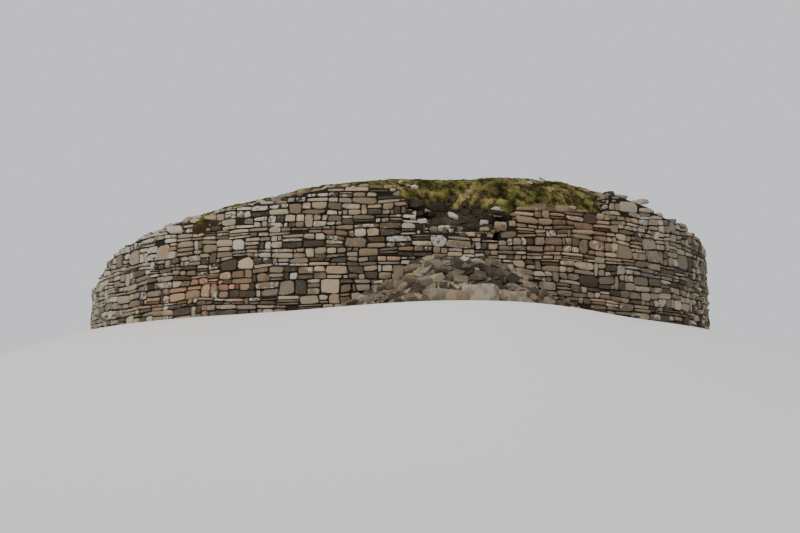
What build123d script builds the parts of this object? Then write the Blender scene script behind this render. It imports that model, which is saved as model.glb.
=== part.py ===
from build123d import *
import os
from math import cos, radians, sin, sqrt

# A ruined broch: a round drystone tower wall, hollow in part, round an open court.
# Millimetres, +Z up, origin at the centre of the court at ground level.
# A bearing is in degrees from the doorway, anticlockwise seen from above: 0 is -Y, 90 is +X.

# The round wall in plan, from the outer face to the court.
OUTER_RADIUS = 9300
OUTER_SKIN = 1400
GALLERY_WIDTH = 1000
INNER_SKIN = 1500
BATTER = 0.045  # how far the outer face leans in for each unit of height

# The ledge of the court face that once carried a floor.
SCARCEMENT_HEIGHT = 2000
SCARCEMENT_DEPTH = 230

# The ruined wallhead: start and end bearing, and the height of the outer face at each.
OUTER_SEGMENTS = [
    (30, 64, 2300, 2100),
    (64, 116, 2100, 1850),
    (116, 137, 1850, 1400),
    (137, 151, 1400, 2200),
    (151, 169, 2200, 2700),
    (169, 204, 2700, 3500),
    (204, 219, 3500, 3400),
    (231, 255, 2900, 3000),
    (255, 266, 3580, 3330),
    (266, 284, 3250, 2850),
    (284, 315, 2850, 2550),
    (315, 346, 2550, 2450),
]
INNER_SEGMENTS = [
    (30, 90, 2300, 2150),
    (90, 150, 2150, 2300),
    (150, 182, 2300, 2750),
    (182, 214, 2750, 3050),
    (214, 246, 3050, 3050),
    (246, 280, 3050, 2600),
    (280, 346, 2600, 2400),
]
HEARTING_SEGMENTS = [
    (30, 60, 2280, 2120),
    (150, 182, 2230, 2960),
    (182, 219, 2960, 3450),
    (219, 255, 3350, 3300),
    (255, 300, 3300, 2700),
    (300, 346, 2700, 2430),
]
INWARD_RISE = 60  # the wallhead's fall towards its outer edge

# The breach, where the outer face has fallen away down to a stub.
BREACH_START = 219
BREACH_END = 231
BREACH_MIDDLE = (BREACH_START + BREACH_END) / 2
STUB_HEIGHT = 2200
RUBBLE_TOE = 130  # the rubble's rise above the stub at its toe
RUBBLE_MIDDLE = 510  # half-way up its slope
RUBBLE_TOP = 1080  # and at its top
RUBBLE_SETBACK = 60  # from the face of the stub to the rubble's toe
RACKING_STEPS = 3
RACKING_STEP_ANGLE = 1.5
RACKING_STEP_HEIGHT = 290

# The heap of tumbled stone that leans on the foot of the wall below the breach.
HEAP_HEIGHT = 1450
HEAP_REACH = 2500
HEAP_RIDGE = 1200  # along the wall
HEAP_END_TURN = 130  # how far each rounded end turns
HEAP_SETBACK = 200  # from the outer face at the ground to the heap's ridge
HEAP_SHOULDER = (0.32, 0.8)  # where its slope steepens, as shares of its reach and height
HEAP_SKIRT = (0.66, 0.3)  # and where it eases
# The larger stones round its toe: bearing, distance from the outer face, length, width, height and turn.
FALLEN_BLOCKS = [
    (225.5, 2450, 950, 700, 520, 20),
    (230.5, 1900, 760, 560, 430, 65),
    (220.0, 1850, 820, 620, 470, -35),
    (234.8, 1500, 640, 520, 380, 10),
    (215.0, 1550, 700, 480, 360, 50),
    (222.4, 2650, 560, 430, 330, 75),
]
BLOCK_CHAMFER = 55

# The entrance passage, its door checks and its lintels.
PIER_START = 346
PIER_END = 30
HEAD_ANGLE = 12  # a bearing past each side of the passage
PIER_HEIGHT = 2450
PASSAGE_WIDTH = 950
INNER_PASSAGE_WIDTH = 1400
PASSAGE_HEIGHT = 1750
CHECK_DISTANCE = 2300  # from the outer face to the door checks
CHECK_THICKNESS = 170
LINTEL_THICKNESS = 280
LINTEL_BEARING = 300
LINTEL_SETBACK = 130  # from the outer face to the first lintel
LINTEL_DEPTH = 720  # along the passage
SECOND_LINTEL_DEPTH = 560
THIRD_LINTEL_DEPTH = 600
THIRD_LINTEL_OVERHANG = 180  # of the third lintel, outside the door checks
LAST_LINTEL_DEPTH = 630
JOINT_GAP = 20  # between slabs that lie side by side
SILL_DEPTH = 260
SILL_HEIGHT = 110
BAR_HOLE_SIZE = 190
BAR_HOLE_DEPTH = 900
BAR_HOLE_HEIGHT = 800
BAR_HOLE_GAP = 60  # from the door check to the hole

# The guard cell in the thickness of the wall beside the passage.
CELL_LENGTH = 2300
CELL_WIDTH = 1600
CELL_WALL_HEIGHT = 1000
CELL_OFFSET = 2250  # from the passage's centreline to the cell's centre
CELL_SETBACK = 100  # from the front of the door checks to the cell's centre
CELL_DOOR_WIDTH = 600
CELL_DOOR_GAP = 180  # from the door check to the cell's doorway
CELL_DOOR_BEARING = 200
CORBEL_COURSES = 6
CORBEL_HEIGHT = 150
CAPSTONE_LENGTH = 1550
CAPSTONE_WIDTH = 1150
CAPSTONE_THICKNESS = 250

# The gallery inside the wall, and its doorway from the court.
GALLERY_START = 60
GALLERY_END = 150
GALLERY_HEIGHT = 1600
GALLERY_SLAB_THICKNESS = 170
GALLERY_SLAB_WIDTH = 430
GALLERY_SLAB_BEARING = 220
GALLERY_SLAB_BEARINGS = [66, 70.5, 75, 84, 88.5, 93, 104, 108.5, 146.5]
DOOR_BEARING = 90
GALLERY_DOOR_WIDTH = 700
GALLERY_DOOR_HEIGHT = 1350
GALLERY_LINTEL_THICKNESS = 200
GALLERY_LINTELS = 3

# The turf that has grown over the wallhead, by cap and section: the bearing, and the height at the
# outer edge, at the crown and at the inner edge.
TURF_CAPS = {
    "turf_cap_west": [
        (151, 2400, 2600, 2420),
        (165, 2720, 2960, 2640),
        (179, 3040, 3270, 2850),
        (193, 3370, 3520, 2990),
        (207, 3600, 3760, 3130),
    ],
    "turf_cap_mound": [
        (207, 3600, 3760, 3130),
        (221, 3420, 3930, 3220),
        (236, 3090, 4030, 3250),
        (251, 3130, 4030, 3170),
        (265, 3400, 3690, 3000),
    ],
    "turf_cap_east": [
        (265, 3400, 3690, 3000),
        (281, 3040, 3310, 2790),
        (297, 2850, 3040, 2710),
        (313, 2720, 2880, 2640),
        (329, 2630, 2760, 2580),
        (344, 2590, 2710, 2560),
    ],
}
TURF_START = 152  # a bearing just past the gallery's end
TURF_EDGE = 380  # from the outer face to the turf's edge
TURF_INNER_EDGE = 120  # from the face over the ledge to the turf's edge
TURF_OVERRUN = 300  # how far the turf's sections run on past its edges
TURF_FALL = 60  # how far they drop there
TURF_CROWN = 0.45  # the crown's place, as a share of the turf's width from its outer edge
TURF_FLOOR = 2000  # a height below every wallhead that carries turf
BITE_RADIUS = 1400  # the bite that the breach takes out of the turf's edge

GALLERY_OUTER = OUTER_RADIUS - OUTER_SKIN
GALLERY_INNER = GALLERY_OUTER - GALLERY_WIDTH
COURT_RADIUS = GALLERY_INNER - INNER_SKIN
LEDGE_RADIUS = COURT_RADIUS + SCARCEMENT_DEPTH
CHECK_Y = CHECK_DISTANCE - OUTER_RADIUS
CELL_Y = CHECK_Y + CELL_SETBACK
CELL_DOOR_FRONT = CHECK_Y + CHECK_THICKNESS + CELL_DOOR_GAP
CELL_DOOR_BACK = CELL_DOOR_FRONT + CELL_DOOR_WIDTH
LINTEL_TOP = PASSAGE_HEIGHT + LINTEL_THICKNESS
TALLEST = max(height for segment in OUTER_SEGMENTS for height in segment[2:]) + 1000
CLEAR = 500  # how far a cutting solid runs past what it cuts
FULL_TURN = 360


def at(radius, bearing, height=0.0):
    """The point at a radius and a bearing from the doorway."""
    turn = radians(bearing)
    return Vector(radius * sin(turn), -radius * cos(turn), height)


def upright_plane(bearing):
    """The upright plane through the centre whose x runs outwards on a bearing and whose y runs up."""
    outwards = at(1, bearing)
    return Plane(origin=(0, 0, 0), x_dir=outwards, z_dir=outwards.cross(Vector(0, 0, 1)))


def turned(outline, start, end):
    """The solid that an outline of radius and height makes as it turns from one bearing to another."""
    face = upright_plane(start) * make_face(Polyline(*outline, close=True))
    return revolve(face, axis=Axis.Z, revolution_arc=end - start)


def block(x, y, z):
    """A box between three pairs of limits."""
    size = [high - low for low, high in (x, y, z)]
    centre = [(high + low) / 2 for low, high in (x, y, z)]
    return Pos(*centre) * Box(*size)


def outer_face(height):
    """The radius of the battered outer face at a height."""
    return OUTER_RADIUS - BATTER * height


def below(solid, first, second, third):
    """What is left of a solid under the plane through three points."""
    normal = (second - first).cross(third - first)
    if normal.Z < 0:
        normal = normal * -1
    return split(solid, bisect_by=Plane(origin=first, z_dir=normal), keep=Keep.BOTTOM)


def minus(solid, cuts):
    """A solid with a list of others cut from it."""
    for cut in cuts:
        solid = solid - cut
    return solid


def headed(solid, outer, inner, start, end, start_height, end_height):
    """A ring solid cut off by the sloping plane of the wallhead over it."""
    middle_height = (start_height + end_height) / 2 + INWARD_RISE
    return below(
        solid,
        at(outer, start, start_height),
        at(outer, end, end_height),
        at(inner, (start + end) / 2, middle_height),
    )


def outer_outline(inner):
    """The section from an inner radius to the battered outer face."""
    return [(inner, 0), (OUTER_RADIUS, 0), (outer_face(TALLEST), TALLEST), (inner, TALLEST)]


def court_outline(outer):
    """The section from the court face, with its ledge, to an outer radius."""
    return [
        (COURT_RADIUS, 0),
        (outer, 0),
        (outer, TALLEST),
        (LEDGE_RADIUS, TALLEST),
        (LEDGE_RADIUS, SCARCEMENT_HEIGHT),
        (COURT_RADIUS, SCARCEMENT_HEIGHT),
    ]


def outer_wall(start, end, start_height, end_height):
    """A length of the outer skin."""
    solid = turned(outer_outline(GALLERY_OUTER), start, end)
    return headed(solid, OUTER_RADIUS, GALLERY_OUTER, start, end, start_height, end_height)


def inner_wall(start, end, start_height, end_height):
    """A length of the court skin."""
    solid = turned(court_outline(GALLERY_INNER), start, end)
    return headed(solid, GALLERY_INNER, COURT_RADIUS, start, end, start_height, end_height)


def hearting(start, end, start_height, end_height):
    """A length of the rubble packed between the two skins."""
    inner, outer = GALLERY_INNER, GALLERY_OUTER
    solid = turned([(inner, 0), (outer, 0), (outer, TALLEST), (inner, TALLEST)], start, end)
    return headed(solid, GALLERY_OUTER, GALLERY_INNER, start, end, start_height, end_height)


def whole_wall(start, end, start_height, end_height):
    """A length of wall through its whole thickness, as beside the passage."""
    outline = [
        (COURT_RADIUS, 0),
        (OUTER_RADIUS, 0),
        (outer_face(TALLEST), TALLEST),
        (LEDGE_RADIUS, TALLEST),
        (LEDGE_RADIUS, SCARCEMENT_HEIGHT),
        (COURT_RADIUS, SCARCEMENT_HEIGHT),
    ]
    solid = turned(outline, start, end)
    return headed(solid, OUTER_RADIUS, COURT_RADIUS, start, end, start_height, end_height)


def racking(edge, direction, height):
    """The cuts that step a broken wall down towards the breach."""
    cuts = []
    for step in range(1, RACKING_STEPS + 1):
        reach = edge + direction * RACKING_STEP_ANGLE * (RACKING_STEPS + 1 - step)
        floor = height - RACKING_STEP_HEIGHT * step
        outline = [
            (GALLERY_OUTER - CLEAR, floor),
            (OUTER_RADIUS + CLEAR, floor),
            (OUTER_RADIUS + CLEAR, TALLEST),
            (GALLERY_OUTER - CLEAR, TALLEST),
        ]
        cuts.append(turned(outline, min(edge, reach), max(edge, reach)))
    return cuts


def passage_void():
    """The passage through the wall, narrow outside the door checks and wider inside them."""
    narrow = PASSAGE_WIDTH / 2
    wide = INNER_PASSAGE_WIDTH / 2
    outside = block((-narrow, narrow), (-OUTER_RADIUS - CLEAR, CHECK_Y), (-CLEAR, TALLEST))
    inside = block((-wide, wide), (CHECK_Y, -COURT_RADIUS + CLEAR), (-CLEAR, TALLEST))
    return outside + inside


def passage_lintel_spans():
    """The four lintels that still lie over the passage: front, back and passage width under each."""
    first = LINTEL_SETBACK - outer_face(LINTEL_TOP)
    second = first + LINTEL_DEPTH + JOINT_GAP
    third = CHECK_Y - THIRD_LINTEL_OVERHANG
    last = -COURT_RADIUS - LAST_LINTEL_DEPTH
    return [
        (first, first + LINTEL_DEPTH, PASSAGE_WIDTH),
        (second, second + SECOND_LINTEL_DEPTH, PASSAGE_WIDTH),
        (third, third + THIRD_LINTEL_DEPTH, INNER_PASSAGE_WIDTH),
        (last, -COURT_RADIUS, INNER_PASSAGE_WIDTH),
    ]


def passage_lintels():
    """The lintel slabs, built into the wall at each end."""
    slabs = []
    for front, back, width in passage_lintel_spans():
        half = width / 2 + LINTEL_BEARING
        slabs.append(block((-half, half), (front, back), (PASSAGE_HEIGHT, LINTEL_TOP)))
    return slabs


def passage_head_courses():
    """The courses of wall that stand on the first two lintels and on the last one."""
    spans = passage_lintel_spans()
    wall = whole_wall(-HEAD_ANGLE, HEAD_ANGLE, PIER_HEIGHT, PIER_HEIGHT)
    narrow = PASSAGE_WIDTH / 2
    wide = INNER_PASSAGE_WIDTH / 2
    front = block((-narrow, narrow), (-OUTER_RADIUS, spans[1][1]), (LINTEL_TOP, TALLEST))
    back = block((-wide, wide), (spans[3][0], -COURT_RADIUS), (LINTEL_TOP, TALLEST))
    return [front & wall, back & wall]


def door_checks():
    """The upright slabs that the door closed against, one on each side of the passage."""
    narrow = PASSAGE_WIDTH / 2
    wide = INNER_PASSAGE_WIDTH / 2
    depth = (CHECK_Y, CHECK_Y + CHECK_THICKNESS)
    height = (0, PASSAGE_HEIGHT)
    return [block((-wide, -narrow), depth, height), block((narrow, wide), depth, height)]


def bar_hole():
    """The square hole behind the door check that the draw bar slid into."""
    wide = INNER_PASSAGE_WIDTH / 2
    start = CHECK_Y + CHECK_THICKNESS + BAR_HOLE_GAP
    height = (BAR_HOLE_HEIGHT, BAR_HOLE_HEIGHT + BAR_HOLE_SIZE)
    return block((-wide - BAR_HOLE_DEPTH, -wide + 1), (start, start + BAR_HOLE_SIZE), height)


def cell_ring(share, bottom, top):
    """An oval slice of the guard cell, at a share of its full size."""
    oval = Ellipse(CELL_LENGTH / 2 * share, CELL_WIDTH / 2 * share)
    return Pos(CELL_OFFSET, CELL_Y, bottom) * extrude(oval, top - bottom)


def cell_vault_void():
    """The corbelled vault: oval rings, each set in from the one below."""
    void = None
    for course in range(CORBEL_COURSES):
        share = sqrt(1 - ((course + 0.6) / (CORBEL_COURSES + 0.6)) ** 2)
        bottom = CELL_WALL_HEIGHT + CORBEL_HEIGHT * course
        ring = cell_ring(share, bottom, bottom + CORBEL_HEIGHT)
        void = ring if void is None else void + ring
    return void


def guard_cell(mass):
    """The wall beside the passage with the guard cell in it, as its five pieces."""
    ceiling = CELL_WALL_HEIGHT + CORBEL_COURSES * CORBEL_HEIGHT
    wide = INNER_PASSAGE_WIDTH / 2
    room = cell_ring(1, -CLEAR, CELL_WALL_HEIGHT)
    doorway = block((0, CELL_OFFSET), (CELL_DOOR_FRONT, CELL_DOOR_BACK), (-CLEAR, CELL_WALL_HEIGHT))
    reach = (0, OUTER_RADIUS)
    lower_front = block(reach, (-OUTER_RADIUS, CELL_DOOR_FRONT), (0, CELL_WALL_HEIGHT))
    lower_back = block(reach, (CELL_DOOR_FRONT, 0), (0, CELL_WALL_HEIGHT))
    upper = block(reach, (-OUTER_RADIUS, 0), (CELL_WALL_HEIGHT, TALLEST))
    vault = cell_vault_void()
    capstone = Pos(CELL_OFFSET, CELL_Y, ceiling + CAPSTONE_THICKNESS / 2) * Box(
        CAPSTONE_LENGTH, CAPSTONE_WIDTH, CAPSTONE_THICKNESS
    )
    cap_pit = Pos(CELL_OFFSET, CELL_Y, ceiling + TALLEST / 2) * Box(
        CAPSTONE_LENGTH, CAPSTONE_WIDTH, TALLEST
    )
    lintel = block(
        (wide, CELL_OFFSET),
        (CELL_DOOR_FRONT - CELL_DOOR_BEARING, CELL_DOOR_BACK + CELL_DOOR_BEARING),
        (CELL_WALL_HEIGHT, CELL_WALL_HEIGHT + CORBEL_HEIGHT),
    )
    lintel = lintel - cell_ring(1, CELL_WALL_HEIGHT, ceiling)
    lintel = lintel.solids().sort_by(Axis.X)[0]
    return {
        "guard_cell_front_wall": (mass & lower_front) - room,
        "guard_cell_back_wall": (mass & lower_back) - room - doorway,
        "guard_cell_lintel": lintel,
        "guard_cell_vault": (mass & upper) - vault - cap_pit - lintel,
        "guard_cell_capstone": capstone,
    }


def gallery_doorway():
    """The doorway from the court into the gallery, open to the wallhead."""
    half = GALLERY_DOOR_WIDTH / 2
    return block((COURT_RADIUS - CLEAR, GALLERY_INNER + CLEAR), (-half, half), (-CLEAR, TALLEST))


def gallery_doorway_lintels():
    """The slabs side by side over the gallery's doorway."""
    depth = (GALLERY_INNER - COURT_RADIUS) / GALLERY_LINTELS
    half = GALLERY_DOOR_WIDTH / 2 + GALLERY_SLAB_BEARING
    height = (GALLERY_DOOR_HEIGHT, GALLERY_DOOR_HEIGHT + GALLERY_LINTEL_THICKNESS)
    joints = [COURT_RADIUS + depth * number for number in range(1, GALLERY_LINTELS)]
    edges = [COURT_RADIUS - CLEAR, *joints, GALLERY_INNER + CLEAR]
    slabs = []
    for front, back in zip(edges, edges[1:]):
        slabs.append(block((front + JOINT_GAP / 2, back - JOINT_GAP / 2), (-half, half), height))
    trim = turned(court_outline(GALLERY_INNER), DOOR_BEARING - 30, DOOR_BEARING + 30)
    return [slab & trim for slab in slabs]


def gallery_slabs():
    """The tie slabs that span the gallery from skin to skin."""
    length = GALLERY_WIDTH + 2 * GALLERY_SLAB_BEARING
    middle = (GALLERY_OUTER + GALLERY_INNER) / 2
    slabs = []
    for bearing in GALLERY_SLAB_BEARINGS:
        slab = Box(length, GALLERY_SLAB_WIDTH, GALLERY_SLAB_THICKNESS)
        place = at(middle, bearing, GALLERY_HEIGHT + GALLERY_SLAB_THICKNESS / 2)
        slabs.append(Pos(place) * Rot(0, 0, bearing - 90) * slab)
    return slabs


def breach_rubble():
    """The rubble core that has slumped on to the stub of the outer face."""
    toe = outer_face(STUB_HEIGHT) - RUBBLE_SETBACK
    outline = [
        (GALLERY_OUTER, STUB_HEIGHT),
        (toe, STUB_HEIGHT),
        (toe, STUB_HEIGHT + RUBBLE_TOE),
        ((GALLERY_OUTER + toe) / 2, STUB_HEIGHT + RUBBLE_MIDDLE),
        (GALLERY_OUTER, STUB_HEIGHT + RUBBLE_TOP),
    ]
    return turned(outline, BREACH_START, BREACH_END)


def fallen_blocks():
    """The larger fallen stones round the toe of the heap."""
    blocks = []
    for bearing, distance, length, width, height, turn in FALLEN_BLOCKS:
        stone = Pos(0, 0, height / 2) * Box(length, width, height)
        upper_edges = stone.edges().filter_by(Axis.Z) + stone.edges().group_by(Axis.Z)[-1]
        stone = chamfer(upper_edges, BLOCK_CHAMFER)
        blocks.append(Pos(at(OUTER_RADIUS + distance, bearing)) * Rot(0, 0, turn) * stone)
    return blocks


def tumble_heap(blocks):
    """The heap below the breach, a bank of rubble with rounded ends that leans on the outer face."""
    shoulder = (HEAP_SHOULDER[0] * HEAP_REACH, HEAP_SHOULDER[1] * HEAP_HEIGHT)
    skirt = (HEAP_SKIRT[0] * HEAP_REACH, HEAP_SKIRT[1] * HEAP_HEIGHT)
    section = make_face(Polyline((0, 0), (0, HEAP_HEIGHT), shoulder, skirt, (HEAP_REACH, 0), close=True))
    reach = OUTER_RADIUS - HEAP_SETBACK
    bank = extrude(upright_plane(BREACH_MIDDLE) * Pos(reach, 0) * section, HEAP_RIDGE / 2, both=True)
    rounded_end = revolve(Plane.XZ * section, axis=Axis.Z, revolution_arc=HEAP_END_TURN)
    along = at(HEAP_RIDGE / 2, BREACH_MIDDLE + 90)
    for side, turn in ((1, BREACH_MIDDLE - 90), (-1, BREACH_MIDDLE - 90 - HEAP_END_TURN)):
        bank += Pos(at(reach, BREACH_MIDDLE) + along * side) * Rot(0, 0, turn) * rounded_end
    wall = turned(outer_outline(0), BREACH_MIDDLE - 45, BREACH_MIDDLE + 45)
    return minus(bank - wall, blocks)


def height_at(segments, bearing):
    """The wallhead's height over a bearing, along a list of segments."""
    for start, end, start_height, end_height in segments:
        if start <= bearing <= end:
            return start_height + (end_height - start_height) * (bearing - start) / (end - start)
    return STUB_HEIGHT


def turf_section(bearing, edge_height, crown, inner_height):
    """An upright section of the turf: a low arch over the wallhead, run on past both edges."""
    outer_edge = OUTER_RADIUS - TURF_EDGE
    inner_edge = LEDGE_RADIUS + TURF_INNER_EDGE
    width = outer_edge - inner_edge
    outside = (outer_edge + TURF_OVERRUN, edge_height - TURF_FALL)
    inside = (inner_edge - TURF_OVERRUN, inner_height - TURF_FALL)
    arch = Spline(
        outside,
        (outer_edge, edge_height),
        (outer_edge - TURF_CROWN * width, crown),
        (inner_edge, inner_height),
        inside,
    )
    sides = Polyline(inside, (inside[0], TURF_FLOOR), (outside[0], TURF_FLOOR), outside)
    return upright_plane(bearing) * make_face(arch + sides)


def turf_caps(walls):
    """The turf, as three caps end to end that are seated on the walls below them."""
    outer_edge = OUTER_RADIUS - TURF_EDGE
    inner_edge = LEDGE_RADIUS + TURF_INNER_EDGE
    band = [
        (inner_edge, TURF_FLOOR),
        (outer_edge, TURF_FLOOR),
        (outer_edge, TALLEST),
        (inner_edge, TALLEST),
    ]
    bite = Pos(at(outer_edge + BITE_RADIUS / 2, BREACH_MIDDLE)) * Cylinder(BITE_RADIUS, 2 * TALLEST)
    caps = {}
    for name, sections in TURF_CAPS.items():
        start = max(TURF_START, sections[0][0])
        room = turned(band, start, sections[-1][0]) - bite
        cap = room & loft([turf_section(*section) for section in sections])
        caps[name] = max(cap.cut(*walls).solids(), key=lambda solid: solid.bounding_box().max.Z)
    return caps


def broch():
    """Every piece of the broch by name, each a solid or a list of like solids."""
    parts = {}
    slabs = gallery_slabs()
    for number, segment in enumerate(OUTER_SEGMENTS, 1):
        wall = outer_wall(*segment)
        if segment[1] == BREACH_START:
            wall = minus(wall, racking(BREACH_START, -1, segment[3]))
        if segment[0] == BREACH_END:
            wall = minus(wall, racking(BREACH_END, 1, segment[2]))
        if segment[0] < GALLERY_END:
            wall = minus(wall, slabs)
        parts[f"outer_wall_{number:02d}"] = wall
    parts["outer_wall_stub"] = below(
        turned(outer_outline(GALLERY_OUTER), BREACH_START, BREACH_END),
        Vector(0, 0, STUB_HEIGHT),
        Vector(1, 0, STUB_HEIGHT),
        Vector(0, 1, STUB_HEIGHT),
    )
    doorway = gallery_doorway()
    door_lintels = gallery_doorway_lintels()
    for number, segment in enumerate(INNER_SEGMENTS, 1):
        wall = inner_wall(*segment)
        if segment[0] < GALLERY_END:
            wall = minus(wall - doorway, door_lintels + slabs)
        parts[f"inner_wall_{number:02d}"] = wall
    for number, segment in enumerate(HEARTING_SEGMENTS, 1):
        parts[f"hearting_{number:02d}"] = hearting(*segment)
    walls = list(parts.values())

    lintels = passage_lintels()
    pier_start_height = height_at(OUTER_SEGMENTS, PIER_START)
    west = whole_wall(PIER_START - FULL_TURN, 0, pier_start_height, PIER_HEIGHT)
    east = whole_wall(0, PIER_END, PIER_HEIGHT, height_at(OUTER_SEGMENTS, PIER_END))
    void = passage_void()
    parts["entrance_pier"] = minus(west - void - bar_hole(), lintels)
    for name, piece in guard_cell(minus(east - void, lintels)).items():
        parts[name] = piece
    parts["passage_lintels"] = lintels
    parts["passage_head_courses"] = passage_head_courses()
    parts["door_checks"] = door_checks()
    half_sill = PASSAGE_WIDTH / 2
    sill_depth = (CHECK_Y - SILL_DEPTH, CHECK_Y)
    parts["door_sill"] = block((-half_sill, half_sill), sill_depth, (0, SILL_HEIGHT))

    half_door = GALLERY_DOOR_WIDTH / 2
    over_door = block(
        (COURT_RADIUS, GALLERY_INNER),
        (-half_door, half_door),
        (GALLERY_DOOR_HEIGHT + GALLERY_LINTEL_THICKNESS, TALLEST),
    )
    head_height = height_at(INNER_SEGMENTS, DOOR_BEARING)
    door_head = inner_wall(DOOR_BEARING - 30, DOOR_BEARING + 30, head_height, head_height)
    parts["gallery_doorway_lintels"] = door_lintels
    parts["gallery_doorway_head"] = minus(over_door & door_head, slabs)
    parts["gallery_slabs"] = slabs

    rubble = breach_rubble()
    parts["breach_rubble"] = rubble
    blocks = fallen_blocks()
    parts["fallen_blocks"] = blocks
    parts["tumble_heap"] = tumble_heap(blocks)
    parts.update(turf_caps(walls + [rubble]))
    return parts


def main():
    """Writes each piece of the broch to its own file."""
    os.makedirs("parts", exist_ok=True)
    for name, piece in broch().items():
        shapes = piece if isinstance(piece, list) else [piece]
        solids = [solid for shape in shapes for solid in shape.solids()]
        whole = solids[0] if len(solids) == 1 else Compound(children=solids)
        export_step(whole, f"parts/{name}.step")


main()
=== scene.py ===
from math import cos, pi, radians, sin

import bpy
import numpy as np
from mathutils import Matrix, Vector
from mathutils.bvhtree import BVHTree


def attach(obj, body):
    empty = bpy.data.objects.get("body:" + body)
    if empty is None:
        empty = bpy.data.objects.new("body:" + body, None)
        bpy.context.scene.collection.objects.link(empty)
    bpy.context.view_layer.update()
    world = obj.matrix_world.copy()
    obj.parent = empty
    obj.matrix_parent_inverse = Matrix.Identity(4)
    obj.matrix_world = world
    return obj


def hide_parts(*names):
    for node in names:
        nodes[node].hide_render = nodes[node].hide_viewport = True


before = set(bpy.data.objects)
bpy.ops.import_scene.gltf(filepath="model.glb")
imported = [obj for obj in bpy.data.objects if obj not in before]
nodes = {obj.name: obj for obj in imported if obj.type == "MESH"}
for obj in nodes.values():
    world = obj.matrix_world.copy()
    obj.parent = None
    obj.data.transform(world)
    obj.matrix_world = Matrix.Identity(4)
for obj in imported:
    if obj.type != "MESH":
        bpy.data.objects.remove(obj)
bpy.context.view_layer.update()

# A ruined broch, in metres: origin at the centre of the court, +Z up.
# A bearing runs from the doorway, anticlockwise seen from above: 0 is -Y, a quarter turn is +X.
# Bearings are in radians where no comment or docstring says degrees.

# Sizes of the walls, with the gallery's two ends in degrees
OUTER_RADIUS = 9.3
BATTER = 0.045
EDGE_RADIUS = 9.0
GALLERY_OUTER = 7.9
GALLERY_INNER = 6.9
GALLERY_ENDS = (60, 150)
COURT_RADIUS = 5.4
LEDGE_RADIUS = 5.63
LEDGE_HEIGHT = 2.0
TALLEST = 4.2
PASSAGE_HALF = 0.475
INNER_PASSAGE_HALF = 0.7
CHECK_Y = -7.0
CHECK_THICKNESS = 0.17
DOOR_HALF = 0.35
CELL_CENTRE = (2.25, -6.9)
CELL_HALF = (1.15, 0.8)
CELL_WALL_HEIGHT = 1.0
CORBEL_HEIGHT = 0.15
CORBEL_COURSES = 6

# The breach in the outer skin: its middle and half width in degrees, the low wall left under it, and the
# steps of its broken ends, in degrees
BREACH = 225
BREACH_BEARING = radians(BREACH)
BREACH_HALF = 6
STUB_HEIGHT = 2.2
BROKEN_STEPS = 4
BROKEN_STEP = 1.5

# The large pale block in the outer face: its two bearings in degrees, and its foot and top
PALE_BLOCK = (257.4, 262.6, 3.1, 3.44)


def at(radius, bearing, height):
    """Points at a radius, bearing and height: (r sin b, -r cos b, z)."""
    radius, bearing, height = np.broadcast_arrays(radius, bearing, height)
    return np.stack([radius * np.sin(bearing), -radius * np.cos(bearing), height], axis=-1)


def polar(points):
    """The radius of each point, and its bearing in degrees from 0 to 360."""
    x, y = points[..., 0], points[..., 1]
    return np.hypot(x, y), np.degrees(np.arctan2(x, -y)) % 360


def level_axes(bearing):
    """The unit vectors out from the origin on a bearing, and square to it, the way that bearings grow."""
    return np.array([sin(bearing), -cos(bearing)]), np.array([cos(bearing), sin(bearing)])


# Large odd numbers that scatter a lattice corner's three numbers and a seed into a hashed value
CORNER_FACTORS = np.array([73856093, 19349663, 83492791])
SEED_FACTOR = 2654435761
MIXING_FACTOR = 1274126177


def noise(points, size, seed):
    """Smooth noise from -1 to 1: a value hashed at each corner of a lattice of the given size,
    eased between the corners by 3t^2 - 2t^3 along each axis."""
    grid = np.asarray(points, float) / size
    cell = np.floor(grid).astype(np.int64)
    share = grid - cell
    share = share * share * (3 - 2 * share)
    total = np.zeros(grid.shape[:-1])
    for corner in np.ndindex(2, 2, 2):
        key = cell + np.array(corner)
        mixed = np.bitwise_xor.reduce(key * CORNER_FACTORS, axis=-1) ^ (seed * SEED_FACTOR)
        mixed = (mixed ^ (mixed >> 13)) * MIXING_FACTOR & 0xFFFFFFFF
        value = ((mixed ^ (mixed >> 16)) & 0xFFFF) / 32767.5 - 1
        weight = np.prod(np.where(np.array(corner) == 1, share, 1 - share), axis=-1)
        total += weight * value
    return total


# The shapes of a single stone

def facing_shape():
    """A stone in a wall's face, in shares of its half width, half height and depth: a front of four
    by four points whose rim lies back, a full ring behind it, and a smaller ring inside the wall."""
    line = np.array([-1, -0.42, 0.42, 1])
    a, b = np.meshgrid(line, line)
    a, b = a.ravel(), b.ravel()
    rim = (np.abs(a) == 1).astype(int) + (np.abs(b) == 1)
    pull = np.array([0.95, 0.93, 0.88])[rim]
    front = np.stack([a * pull, b * pull, np.array([1.0, 0.84, 0.7])[rim]], axis=1)
    loop = [0, 1, 2, 3, 7, 11, 15, 14, 13, 12, 8, 4]
    round_off = np.array([1.0, 1.0, 0.9])[rim][loop]
    full = np.stack([a[loop] * round_off, b[loop] * round_off, np.full(12, 0.22)], axis=1)
    back = np.stack([full[:, 0] * 0.9, full[:, 1] * 0.9, np.full(12, -1.0)], axis=1)
    faces = [(k, k + 1, k + 5, k + 4) for k in range(11) if k % 4 != 3]
    rings = [loop, list(range(16, 28)), list(range(28, 40))]
    for outer, inner in zip(rings, rings[1:]):
        faces += [(outer[k], inner[k], inner[(k + 1) % 12], outer[(k + 1) % 12]) for k in range(12)]
    faces.append(tuple(reversed(rings[2])))
    return np.concatenate([front, full, back]), faces


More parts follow.
